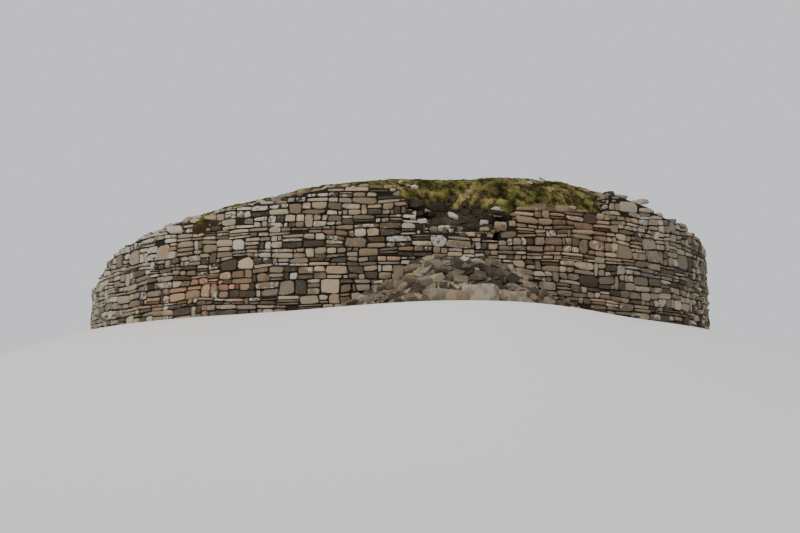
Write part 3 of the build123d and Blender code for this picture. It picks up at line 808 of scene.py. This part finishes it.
def eased(x, xs, ys):
    """A smooth curve through a table: cubic pieces whose slope at each point is that of its neighbours."""
    slope = np.gradient(ys, xs)
    k = np.clip(np.searchsorted(xs, x) - 1, 0, len(xs) - 2)
    step = xs[k + 1] - xs[k]
    t = np.clip((x - xs[k]) / step, 0, 1)
    return ((2 * t**3 - 3 * t**2 + 1) * ys[k] + (t**3 - 2 * t**2 + t) * step * slope[k]
            + (3 * t**2 - 2 * t**3) * ys[k + 1] + (t**3 - t**2) * step * slope[k + 1])


def turf_level(radius, degrees):
    """The turf's height over a radius and a bearing in degrees: the line between its edges plus a parabola
    that peaks at the crown."""
    edge, crown, inner = (eased(degrees, TURF_SECTIONS[:, 0], TURF_SECTIONS[:, k]) for k in (1, 2, 3))
    s = (TURF_OUTER - radius) / (TURF_OUTER - TURF_INNER)
    hump = 1 - ((s - CROWN_SHARE) / np.where(s < CROWN_SHARE, CROWN_SHARE, 1 - CROWN_SHARE)) ** 2
    return edge + (inner - edge) * s + (crown - edge - (inner - edge) * CROWN_SHARE) * hump


def bite_slump(points):
    """How far the sod has sunk behind the bite: the slump at its circle, easing to nothing over the slump's
    width, and nothing at the wall's outer edge."""
    middle = at(BITE_CENTRE, BREACH_BEARING, 0.0)[:2]
    behind = np.linalg.norm(points[..., :2] - middle, axis=-1) - BITE_RADIUS
    edge = np.clip((EDGE_RADIUS - polar(points)[0]) / 0.5, 0, 1)
    return SLUMP * edge * (1 - np.clip(behind / SLUMP_WIDTH, 0, 1)) ** 2


def bite_stones(rng):
    """Stones bedded in the broken edge of the turf, round the bite: rows along its circle, one over the
    other from the rubble up to just under the sod, with gaps left at random."""
    even = np.linspace(-BITE_TURN, BITE_TURN, BITE_COUNT)
    turn = np.concatenate([even + rng.uniform(-0.07, 0.07, BITE_COUNT) for _ in range(BITE_ROWS)])
    row = np.repeat(np.arange(BITE_ROWS), BITE_COUNT)
    reach = BITE_RADIUS + rng.uniform(-0.06, 0.1, len(turn))
    out, across = level_axes(BREACH_BEARING)
    flat = out * (BITE_CENTRE - reach * np.cos(turn))[:, None] + across * (reach * np.sin(turn))[:, None]
    hits = down_hits(rest_search, flat)
    radius, degrees = polar(flat)
    top = turf_level(radius, degrees) - 0.1 - bite_slump(flat)
    low = np.array([hit[0] if hit else 9.0 for hit in hits])
    height = low + 0.02 + BITE_RISE * row + rng.uniform(-0.04, 0.04, len(row))
    kept = (height < top - 0.02) & (radius < EDGE_RADIUS + 0.05) & (rng.random(len(row)) < BITE_SHARE)
    count = int(kept.sum())
    halves = half_sizes(rng, count, *BITE_STONE)
    centres = np.column_stack([flat[kept], height[kept]])
    yaw = BREACH_BEARING - turn[kept] + rng.normal(0, 0.35, count)
    owners = [hits[k][2] for k in np.flatnonzero(kept)]
    loose_stones(owners, centres, halves, yaw, UPRIGHT, rng, 0.22)


def sod_edge(bearing):
    """The sod's outer radius on each bearing, and whether the bite cuts it. The radius is the turf's with
    two sizes of noise, a little more west of the breach, and more at the fringes. Inside the bite it stops
    at the bite's circle: c cos t - sqrt(R^2 - (c sin t)^2), with t from the breach, plus ragged noise."""
    degrees = np.degrees(bearing)
    points = at(EDGE_RADIUS, bearing, 0.0)
    radius = TURF_OUTER + 0.1 * noise(points, 1.1, 31) + 0.06 * noise(points, 0.3, 32)
    radius = np.minimum(radius + 0.14 * np.clip((216 - degrees) / 6, 0, 1), TURF_REACH)
    fringe = sum(np.exp(-(((degrees - middle) / half_width) ** 2)) for middle, half_width in FRINGES)
    radius = radius + 0.17 * fringe * (1 + 0.45 * noise(points, 0.28, 39))
    turn = bearing - BREACH_BEARING
    inside = np.maximum(BITE_RADIUS**2 - (BITE_CENTRE * np.sin(turn)) ** 2, 0)
    bite = BITE_CENTRE * np.cos(turn) - np.sqrt(inside) + 0.1 + 0.1 * noise(points, 0.35, 33)
    return np.where(inside > 0, np.minimum(radius, bite), radius), inside > 0


def turf_cap(name, material):
    """A length of turf: a closed profile carried round the wall. Its top is the turf's level, less a quarter
    round at each lip, with swells, with clumps and tufts, which are roots of the parts above zero of two
    sizes of noise, and with finer blades. Its edges wander by smooth noise. Both far ends sink into the
    wallhead, and behind the bite it sinks by the bite's slump."""
    start, end = (radians(value) for value in TURF_CAPS[name])
    steps = int((end - start) * TURF_MIDDLE / PROFILE_STEP)
    bearing = np.linspace(start, end, steps + 1)
    r_out, bitten = sod_edge(bearing)
    court_points = at(6.0, bearing, 1.0)
    r_in = TURF_INNER + 0.04 + 0.1 * noise(court_points, 0.9, 34) + 0.04 * noise(court_points, 0.25, 35)
    bearing, r_out, bitten, r_in = (row[:, None] for row in (bearing, r_out, bitten, r_in))
    degrees = np.degrees(bearing)
    share = (1 - np.cos(np.linspace(0, pi, PROFILE_POINTS))) / 2
    share = 0.65 * share + 0.35 * np.linspace(0, 1, len(share))
    width = r_out - r_in
    radius = r_out - width * share
    top = at(radius, bearing, turf_level(radius, degrees))
    clumps = np.sqrt(np.maximum(noise(top, 0.34, 37), 0))
    tufts = np.sqrt(np.maximum(noise(top, 0.16, 38), 0))
    blades = noise(top, 0.06, 40)
    rough = 0.05 * noise(top, 1.2, 36) + 0.035 * clumps + 0.035 * tufts + 0.016 * blades - 0.035
    for away, lip in ((width * share, OUTER_LIP), (width * (1 - share), INNER_LIP)):
        rough -= lip * (1 - np.sqrt(np.maximum(1 - (1 - np.minimum(away / lip, 1)) ** 2, 0)))
    sink = np.minimum(degrees - (TURF_ENDS[0] - 0.5), TURF_ENDS[1] + 0.3 - degrees) / 5
    rough -= 0.5 * (1 - np.clip(sink, 0, 1)) ** 2
    top[..., 2] += rough - bite_slump(top)
    recess = np.where(bitten, BITE_UNDERCUT, 0.03 + np.maximum(r_out - TURF_REACH, 0))
    outer_foot = at(r_out - recess, bearing, top[:, :1, 2] - OUTER_DEPTH)
    inner_foot = at(r_in + 0.03, bearing, top[:, -1:, 2] - INNER_DEPTH)
    ring = np.concatenate([top, inner_foot, outer_foot], axis=1)
    rows, around = ring.shape[:2]
    tone = np.zeros((rows, around, 4))
    tone[:, :-2, :3] = np.stack([clumps, tufts, 0.5 + 0.5 * blades], axis=-1)
    quads = grid_quads(rows, around, columns_close=True)
    loops = [quads.ravel(), np.arange(around), (rows - 1) * around + np.arange(around)[::-1]]
    sizes = np.concatenate([np.full(len(quads), 4), [around, around]])
    piece = build_mesh(name + "_sod", ring.reshape(-1, 3), np.concatenate(loops), sizes, tone.reshape(-1, 4))
    piece.data.materials.append(material)
    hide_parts(name)
    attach(piece, "root")


# Materials

def new_node(tree, kind, inputs):
    """A node of a kind, with each named input linked to an output or set to a constant."""
    made = tree.nodes.new("ShaderNode" + kind)
    for name, value in inputs.items():
        if isinstance(value, bpy.types.NodeSocket):
            tree.links.new(value, made.inputs[name])
        else:
            made.inputs[name].default_value = value
    return made


def new_material(name, roughness, specular=0.2):
    """An empty material with one principled shader: the material, its tree and the shader."""
    made = bpy.data.materials.new(name)
    made.use_nodes = True
    tree = made.node_tree
    tree.nodes.clear()
    shader = new_node(tree, "BsdfPrincipled", {"Roughness": roughness, "Specular IOR Level": specular})
    new_node(tree, "OutputMaterial", {0: shader.outputs[0]})
    return made, tree, shader


def math_node(tree, operation, *values):
    """A math node over numbers and sockets."""
    made = new_node(tree, "Math", dict(enumerate(values)))
    made.operation = operation
    return made.outputs[0]


def line_node(tree, value, slope, offset):
    """A value times a slope, plus an offset that may be a socket too."""
    return math_node(tree, "MULTIPLY_ADD", value, slope, offset)


def step_node(tree, value, low, high):
    """A smooth step from 0 at low to 1 at high."""
    made = new_node(tree, "MapRange", {"Value": value, "From Min": low, "From Max": high})
    made.interpolation_type = "SMOOTHSTEP"
    return made.outputs[0]


def place_node(tree, stretch=(1, 1, 1), shift=(0, 0, 0)):
    """Object coordinates, stretched and shifted."""
    where = new_node(tree, "TexCoord", {}).outputs["Object"]
    return new_node(tree, "Mapping", {"Vector": where, "Location": shift, "Scale": stretch}).outputs[0]


def noise_node(tree, where, scale, detail=3.0, roughness=0.55):
    """Fractal noise from 0 to 1 at a scale per metre."""
    inputs = {"Vector": where, "Scale": scale, "Detail": detail, "Roughness": roughness}
    return new_node(tree, "TexNoise", inputs).outputs["Fac"]


def ramp_node(tree, factor, *stops):
    """A colour ramp: stops of (place, linear colour)."""
    made = new_node(tree, "ValToRGB", {"Fac": factor})
    elements = made.color_ramp.elements
    while len(elements) < len(stops):
        elements.new(0.5)
    for element, (place, colour) in zip(elements, stops):
        element.position = place
        element.color = (*colour, 1)
    return made.outputs[0]


def blend_node(tree, kind, factor, first, second):
    """Two colours blended by a factor."""
    made = new_node(tree, "Mix", {"Factor": factor, 6: first, 7: second})
    made.data_type = "RGBA"
    made.blend_type = kind
    return made.outputs[2]


def darken_node(tree, colour, value):
    """A colour times a number."""
    grey = new_node(tree, "CombineColor", dict.fromkeys(range(3), value))
    return blend_node(tree, "MULTIPLY", 1.0, colour, grey.outputs[0])


def dress(tree, shader, colour, height, strength, distance):
    """Gives a shader its colour, and bumps its surface by a height."""
    tree.links.new(colour, shader.inputs["Base Color"])
    bump = new_node(tree, "Bump", {"Height": height, "Strength": strength, "Distance": distance})
    tree.links.new(bump.outputs[0], shader.inputs["Normal"])


def tone_sockets(tree):
    """The four parts of the tone stored in the mesh."""
    tone = new_node(tree, "Attribute", {})
    tone.attribute_name = "tone"
    return (*new_node(tree, "SeparateColor", {0: tone.outputs["Color"]}).outputs, tone.outputs["Alpha"])


def upward_socket(tree):
    """How far the surface faces up: the upright part of its normal."""
    normal = new_node(tree, "NewGeometry", {}).outputs["Normal"]
    return new_node(tree, "SeparateXYZ", {0: normal}).outputs[2]


def stone_material(name, shift, lichen_level, stretch=(1, 1, 1)):
    """Weathered stone. Each stone's tone gives its hue, from cool grey by tan and brown to a dull red, its
    lightness, how much pale lichen has taken hold, and how dark damp, and in the breach painted shade, has
    made it."""
    made, tree, shader = new_material(name, 0.92)
    hue, light, lichen, damp_and_shade = tone_sockets(tree)
    where = place_node(tree, stretch, shift)
    coarse = noise_node(tree, where, 3.1, 4.0)
    middle = noise_node(tree, where, 11.0, 5.0, 0.6)
    fine = noise_node(tree, where, 46.0, 5.0, 0.65)
    warm = math_node(tree, "ADD", hue, line_node(tree, middle, 0.5, -0.25))
    colour = ramp_node(tree, warm, (0.0, (0.15, 0.14, 0.118)), (0.3, (0.2, 0.173, 0.125)),
                       (0.55, (0.205, 0.156, 0.1)), (0.8, (0.185, 0.117, 0.07)), (1.0, (0.235, 0.12, 0.082)))
    bright = line_node(tree, light, 1.6, 0.3)
    mottle = line_node(tree, fine, 0.6, 0.7)
    colour = darken_node(tree, colour, math_node(tree, "MULTIPLY", bright, mottle))
    # damp, and in the breach painted shade, darkens the colour towards grey
    wet_and_shaded = math_node(tree, "ADD", coarse, line_node(tree, damp_and_shade, 0.5, -0.25))
    stain_and_shade = math_node(tree, "MULTIPLY", step_node(tree, wet_and_shaded, 0.5, 0.72), 0.75)
    colour = blend_node(tree, "MULTIPLY", stain_and_shade, colour, (0.42, 0.4, 0.38, 1))
    spread = math_node(tree, "ADD", middle, line_node(tree, coarse, 0.7, -0.35))
    spread = math_node(tree, "ADD", spread, line_node(tree, lichen, 0.62, -0.31))
    patch = step_node(tree, spread, lichen_level, lichen_level + 0.1)
    speck = step_node(tree, noise_node(tree, where, 27.0, 2.0), 0.64, 0.7)
    patch = math_node(tree, "MAXIMUM", patch, math_node(tree, "MULTIPLY", speck, lichen))
    crust = ramp_node(tree, fine, (0.3, (0.3, 0.285, 0.235)), (0.6, (0.48, 0.46, 0.395)))
    colour = blend_node(tree, "MIX", math_node(tree, "MULTIPLY", patch, 0.85), colour, crust)
    height = line_node(tree, middle, 1.4, math_node(tree, "MULTIPLY", fine, 0.5))
    dress(tree, shader, colour, height, 0.7, 0.03)
    return made


def core_material():
    """What shows between the stones: near-black painted shade for the voids where it doesn't face up, and
    dark earth and small rubble, paler, where it faces up.
    """
    made, tree, shader = new_material("dark_joint_earth", 1.0)
    where = place_node(tree)
    coarse = noise_node(tree, where, 5.0, 4.0)
    fine = noise_node(tree, where, 30.0, 4.0)
    # painted shade: near-black, standing in for the shade in the voids between stones
    colour = ramp_node(tree, fine, (0.3, (0.009, 0.007, 0.005)), (0.7, (0.034, 0.026, 0.019)))
    level = step_node(tree, upward_socket(tree), 0.35, 0.8)
    soil = ramp_node(tree, coarse, (0.35, (0.02, 0.016, 0.01)), (0.65, (0.06, 0.048, 0.028)))
    colour = blend_node(tree, "MIX", level, colour, soil)
    dress(tree, shader, colour, math_node(tree, "ADD", coarse, fine), 0.9, 0.04)
    return made


def turf_material():
    """Sod of short olive and ochre grass. The mesh's tone gives the height of its clumps, tufts and blades:
    hollows get painted shade and tops painted light, and tips are dry. Brown soil shows where it breaks off
    steeply."""
    made, tree, shader = new_material("olive_turf", 1.0, 0.05)
    clumps, tufts, blades, _ = tone_sockets(tree)
    dry = noise_node(tree, place_node(tree, shift=(3, 5, 7)), 1.5, 8.0, 0.68)
    dry = math_node(tree, "ADD", dry, line_node(tree, clumps, 0.07, -0.02))
    colour = ramp_node(tree, dry, (0.4, (0.058, 0.056, 0.015)), (0.49, (0.112, 0.102, 0.028)),
                       (0.57, (0.195, 0.16, 0.056)), (0.67, (0.285, 0.236, 0.108)))
    where = place_node(tree)
    middle = noise_node(tree, where, 3.4, 8.0, 0.72)
    fine = noise_node(tree, where, 38.0, 4.0, 0.7)
    # painted light and shade: darker in the hollows, lighter on the tops
    hollow = math_node(tree, "ADD", middle, line_node(tree, tufts, 0.1, -0.03))
    hollow = math_node(tree, "ADD", hollow, line_node(tree, blades, 0.06, -0.03))
    shade = line_node(tree, step_node(tree, hollow, 0.4, 0.6), 1.4, 0.25)
    shade = math_node(tree, "MULTIPLY", shade, line_node(tree, fine, 1.1, 0.45))
    colour = darken_node(tree, colour, shade)
    flat = step_node(tree, line_node(tree, middle, 0.3, upward_socket(tree)), 0.22, 0.5)
    soil = ramp_node(tree, fine, (0.3, (0.022, 0.016, 0.011)), (0.7, (0.085, 0.06, 0.038)))
    colour = blend_node(tree, "MIX", flat, soil, colour)
    needles = noise_node(tree, place_node(tree, (1.0, 1.0, 0.3), (3, 5, 7)), 110.0, 3.0, 0.7)
    height = line_node(tree, fine, 0.6, math_node(tree, "MULTIPLY", needles, 0.5))
    height = line_node(tree, middle, 2.0, height)
    dress(tree, shader, colour, height, 1.0, 0.06)
    return made


facing_stone = stone_material("grey_brown_drystone", (0, 0, 0), 0.66)
slab_stone = stone_material("split_slab_stone", (11, 7, 3), 0.7, (1, 1, 2.2))
loose_stone = stone_material("tumbled_stone", (5, 2, 9), 0.64)
earth_and_shade_core = core_material()
turf = turf_material()

# every CAD node gets the earth and painted-shade material
for name in nodes:
    nodes[name].data.materials.clear()
    nodes[name].data.materials.append(earth_and_shade_core)

# The stones of the walls

rng = np.random.default_rng(4107)
block = (*(radians(degrees) * OUTER_RADIUS for degrees in PALE_BLOCK[:2]), *PALE_BLOCK[2:])
round_wall(OUTER_RADIUS, 1, 0, 360, TALLEST, rng, BATTER, block=block)
round_wall(COURT_RADIUS, -1, -360, 0, LEDGE_HEIGHT, rng)
round_wall(LEDGE_RADIUS, -1, -360, 0, TALLEST - LEDGE_HEIGHT, rng, base=LEDGE_HEIGHT)

# the gallery: its two walls and its two ends
round_wall(GALLERY_OUTER, -1, *GALLERY_ENDS, TALLEST, rng)
round_wall(GALLERY_INNER, 1, *GALLERY_ENDS, TALLEST, rng)
for degrees, facing in zip(GALLERY_ENDS, (1, -1)):
    radial_wall(degrees, facing, GALLERY_INNER, GALLERY_OUTER, TALLEST, rng)

# the sides of the gallery's doorway, and of the entrance passage outside and inside its door checks:
# where each starts, the way it runs, the way it faces, and its length
COURT_MARGIN = 0.05
doorway = GALLERY_INNER - COURT_RADIUS
outside = OUTER_RADIUS + CHECK_Y
inside = -CHECK_Y - CHECK_THICKNESS - COURT_RADIUS + COURT_MARGIN
for origin, along, outward, length in (
    ((GALLERY_INNER, -DOOR_HALF), (-1, 0), (0, 1), doorway),
    ((COURT_RADIUS, DOOR_HALF), (1, 0), (0, -1), doorway),
    ((-PASSAGE_HALF, -OUTER_RADIUS), (0, 1), (1, 0), outside),
    ((PASSAGE_HALF, CHECK_Y), (0, -1), (-1, 0), outside),
    ((-INNER_PASSAGE_HALF, CHECK_Y + CHECK_THICKNESS), (0, 1), (1, 0), inside),
    ((INNER_PASSAGE_HALF, -COURT_RADIUS + COURT_MARGIN), (0, -1), (-1, 0), inside),
):
    face_wall(flat_place(origin, along, outward), length, TALLEST, rng)

# the guard cell: its oval wall, and the corbelled rings over it
face_wall(oval_place(1.0), 2 * pi, CELL_WALL_HEIGHT, rng, (0.3, 0.36), (0.3, 0.6))
for ring in range(CORBEL_COURSES):
    share = (1 - ((ring + 0.6) / (CORBEL_COURSES + 0.6)) ** 2) ** 0.5
    face_wall(oval_place(share), 2 * pi, CORBEL_HEIGHT - HAIR, rng, (CORBEL_HEIGHT, CORBEL_HEIGHT + HAIR),
              (0.35, 0.7), (0.02, 0.04), CELL_WALL_HEIGHT + CORBEL_HEIGHT * ring)

# the breach: the stepped ends of the outer skin, the rubble bared behind it, and its toe on the low wall
for facing in (1, -1):
    for step in range(BROKEN_STEPS):
        degrees = BREACH - facing * (BREACH_HALF + BROKEN_STEP * step)
        radial_wall(degrees, facing, GALLERY_OUTER, OUTER_RADIUS, TALLEST - STUB_HEIGHT, rng, STUB_HEIGHT)
round_wall(GALLERY_OUTER, 1, BREACH - 8, BREACH + 8, TALLEST - STUB_HEIGHT, rng,
           course=(0.28, 0.4), cell=(0.25, 0.5), proud=(0.05, 0.16), base=STUB_HEIGHT + 0.1)
TOE_HEIGHT = 0.13
toe_radius = OUTER_RADIUS - BATTER * STUB_HEIGHT - 0.06
round_wall(toe_radius, 1, BREACH - BREACH_HALF, BREACH + BREACH_HALF, TOE_HEIGHT - HAIR, rng,
           course=(TOE_HEIGHT, TOE_HEIGHT + HAIR), cell=(0.25, 0.5), proud=(0.02, 0.05), base=STUB_HEIGHT)

# the two broken steps in the wall's top beside the pale block
radial_wall(255, -1, GALLERY_OUTER, OUTER_RADIUS, 1.3, rng, 2.9)
radial_wall(266, 1, GALLERY_OUTER, OUTER_RADIUS, 1.0, rng, 3.2)

# The broken wallhead

# loose stones: inner and outer radius, spacing, size, the two bearings, and the chance to poke through turf
for row in (
    (7.95, 9.0, 0.28, 0.26, -129, 152, 0.06),
    (7.95, 9.1, 0.27, 0.19, 152, 213, 0.03),
    (7.95, 9.08, 0.27, 0.2, 213, 231, 0.05),
    (6.95, 7.85, 0.25, 0.22, 0, 360, 0.04),
    (5.78, 6.85, 0.29, 0.27, 0, 360, 0.03),
):
    wallhead_stones(*row, rng)

# the broken top course: the two bearings, radius, spacing, size, the share that is there, and its level
for row in (
    (-129, 152, 9.0, 0.36, 0.26, 0.75, 0.0),
    (-129, 152, 8.97, 0.45, 0.22, 0.22, 0.12),
    (152, 214, 9.04, 0.3, 0.16, 0.6, 0.0),
    (219, 231, 9.06, 0.24, 0.17, 0.9, -0.05),
    (219, 231, 9.16, 0.27, 0.16, 0.8, -0.05),
):
    edge_stones(*row, rng)

heap_stones(0.25, 0.25, rng)
heap_stones(0.16, 0.14, rng)
bite_stones(rng)
wallhead_stones(7.3, 8.3, 0.3, 0.27, 236, 254, 0.35, rng)

for name in sorted(batches):
    slot, material = "facing_stone", facing_stone
    if name.startswith("hearting"):
        slot = "hearting_rubble"
    if name == "tumble_heap":
        slot, material = "fallen_stone", loose_stone
    stones_piece(name + "_stones", batches[name], material)

for seed, name in enumerate(SLAB_NODES, 61):
    rough_slabs(name, slab_stone, seed * 10)
rough_slabs("fallen_blocks", loose_stone, 977, edge=0.09, relief=0.045)

for name in TURF_CAPS:
    turf_cap(name, turf)

# Stage, light and camera

# The floor's level part, how much further it goes by the heap, and the mound's drop, slope and bend
LEVEL_REACH = 9.6
HEAP_REACH = 3.0
MOUND_DROP = 9.5
MOUND_SLOPE = 0.33
MOUND_BEND = 0.5


def stage_mound():
    """The floor: level under the object, then falling away as a smooth mound. With d past the level part,
    z = -D tanh(m (sqrt(d^2 + b^2) - b) / D), for the drop D, the slope m and the bend b; the level part
    reaches further by the heap."""
    bearing = np.linspace(0, 2 * pi, 181)[:-1][:, None]
    radius = np.concatenate([[0.01, 5, 8], np.linspace(9, 15, 31), np.geomspace(15.5, 420, 44)])[None]
    turn = (bearing - BREACH_BEARING + pi) % (2 * pi) - pi
    level = LEVEL_REACH + HEAP_REACH * np.exp(-((turn / radians(20)) ** 2))
    past = np.maximum(radius - level, 0)
    fall = MOUND_SLOPE * (np.sqrt(past**2 + MOUND_BEND**2) - MOUND_BEND)
    ring = at(radius, bearing, -MOUND_DROP * np.tanh(fall / MOUND_DROP))
    quads = grid_quads(*ring.shape[:2], rows_close=True)[:, [0, 3, 2, 1]]
    floor = build_mesh("stage_floor", ring.reshape(-1, 3), quads.ravel(), np.full(len(quads), 4))
    made, _, shader = new_material("pale_floor", 1.0)
    shader.inputs["Base Color"].default_value = (0.72, 0.71, 0.69, 1)
    floor.data.materials.append(made)


stage_mound()

world = bpy.data.worlds.new("pale_room")
bpy.context.scene.world = world
world.use_nodes = True
world.node_tree.nodes["Background"].inputs["Color"].default_value = (0.88, 0.89, 0.94, 1)
world.node_tree.nodes["Background"].inputs["Strength"].default_value = 0.9


def aimed(data, direction, axis):
    """Puts a lamp or camera in the scene, with one of its axes turned along a direction."""
    holder = bpy.data.objects.new(data.name, data)
    bpy.context.scene.collection.objects.link(holder)
    holder.rotation_mode = "QUATERNION"
    holder.rotation_quaternion = direction.to_track_quat(axis, "Y")
    return holder


# The key light is a wide soft sun, and the bearing and rise of where it comes from are in degrees.
SUN_BEARING = 180
SUN_RISE = 42
sun = bpy.data.lights.new("key_light", "SUN")
sun.energy = 1.9
sun.angle = radians(32)
sun.color = (1.0, 0.95, 0.88)
aimed(sun, Vector(at(cos(radians(SUN_RISE)), radians(SUN_BEARING), sin(radians(SUN_RISE)))), "Z")

CAMERA_PLACE = Vector((-53.9, 77.0, -8.25))
CAMERA_TARGET = Vector((0, 0, 2.3))
camera = bpy.data.cameras.new("camera")
camera.sensor_width = 36
camera.lens = 140
camera.clip_start = 1
camera.clip_end = 1500
bpy.context.scene.camera = aimed(camera, CAMERA_TARGET - CAMERA_PLACE, "-Z")
bpy.context.scene.camera.location = CAMERA_PLACE
